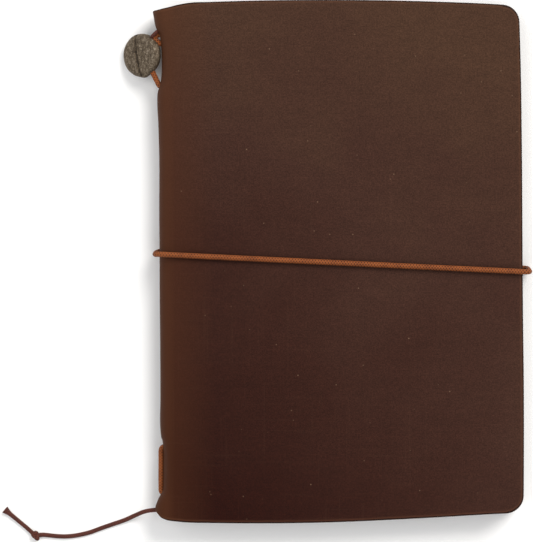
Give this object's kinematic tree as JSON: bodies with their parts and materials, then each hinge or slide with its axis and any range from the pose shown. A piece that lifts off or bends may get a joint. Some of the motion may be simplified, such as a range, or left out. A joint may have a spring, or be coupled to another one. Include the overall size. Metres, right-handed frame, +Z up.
{
  "type": "leather notebook cover",
  "caption": "Small leather notebook cover that wraps a stapled booklet, with a tin clasp, an elastic closure band and a cord bookmark.",
  "frame": {"origin": "under the middle of the object's box, on the surface that it lies on, measured without the free end of the bookmark cord", "axes": "+X from the spine to the fore edge, +Y from tail to head, +Z up through the front cover"},
  "size_m": [0.1358, 0.1386, 0.0115],
  "materials": {
    "leather": "matt waxed cowhide, dark brown, burnished cut edges",
    "elastic": "woven cover over a rubber core, tan brown",
    "cord": "fine braided cotton, dark red brown",
    "tin": "antiqued tin alloy, pitted",
    "card": "uncoated kraft card",
    "paper": "uncoated cream paper",
    "staple": "galvanised wire"
  },
  "bodies": {
    "back": {"back_cover": "leather", "closure_band_front_run": "elastic", "closure_band_side_run": "elastic", "closure_band_back_run": "elastic", "bookmark_cord": "cord", "bookmark_knot": "cord", "bookmark_tip": "cord"},
    "spine_back": {"spine_strip_back": "leather"},
    "spine_middle": {"spine_strip_middle": "leather", "spine_elastic": "elastic", "closure_band_knot": "elastic", "bookmark_hitch": "cord", "bookmark_inner_run": "cord", "booklet_card_fold": "card", "booklet_pages_fold": "paper", "booklet_staple_head": "staple", "booklet_staple_tail": "staple"},
    "spine_front": {"spine_strip_front": "leather"},
    "front": {"front_cover": "leather"},
    "booklet_back": {"booklet_card_back": "card", "booklet_pages_back": "paper"},
    "booklet_front": {"booklet_card_front": "card", "booklet_pages_front": "paper"},
    "clasp": {"clasp_disc": "tin", "clasp_elastic": "elastic"}
  },
  "joints": [
    {"name": "cover_fold", "type": "hinge", "parent": "back", "child": "spine_back", "pos_m": [-0.04033, 0, 0.00145], "axis": [0, -1, 0], "range_deg": [0, 45], "deforming": ["closure_band_front_run", "closure_band_side_run"]},
    {"name": "spine_fold_back", "type": "hinge", "parent": "spine_back", "child": "spine_middle", "pos_m": [-0.04285, 0, 0.00397], "axis": [0, -1, 0], "range_deg": [0, 45]},
    {"name": "spine_fold_front", "type": "hinge", "parent": "spine_middle", "child": "spine_front", "pos_m": [-0.04285, 0, 0.00753], "axis": [0, -1, 0], "range_deg": [0, 45]},
    {"name": "front_cover_fold", "type": "hinge", "parent": "spine_front", "child": "front", "pos_m": [-0.04033, 0, 0.01005], "axis": [0, -1, 0], "range_deg": [0, 45]},
    {"name": "booklet_tilt", "type": "hinge", "parent": "spine_middle", "child": "booklet_back", "pos_m": [-0.03645, 0, 0.00575], "axis": [0, -1, 0], "range_deg": [-90, 0]},
    {"name": "booklet_opening", "type": "hinge", "parent": "booklet_back", "child": "booklet_front", "pos_m": [-0.03645, 0, 0.00575], "axis": [0, -1, 0], "range_deg": [0, 180], "deforming": ["booklet_card_fold", "booklet_pages_fold"]},
    {"name": "clasp_swing", "type": "hinge", "parent": "spine_middle", "child": "clasp", "pos_m": [-0.04455, 0.0532, 0.00642], "axis": [0, 1, 0], "range_deg": [0, 120], "deforming": ["clasp_elastic"]}
  ],
  "couplings": [
    {"joint": "spine_fold_back", "follows": "cover_fold", "ratio": 1},
    {"joint": "spine_fold_front", "follows": "cover_fold", "ratio": 1},
    {"joint": "front_cover_fold", "follows": "cover_fold", "ratio": 1},
    {"joint": "booklet_tilt", "follows": "cover_fold", "ratio": -2},
    {"joint": "booklet_opening", "follows": "cover_fold", "ratio": 4}
  ]
}
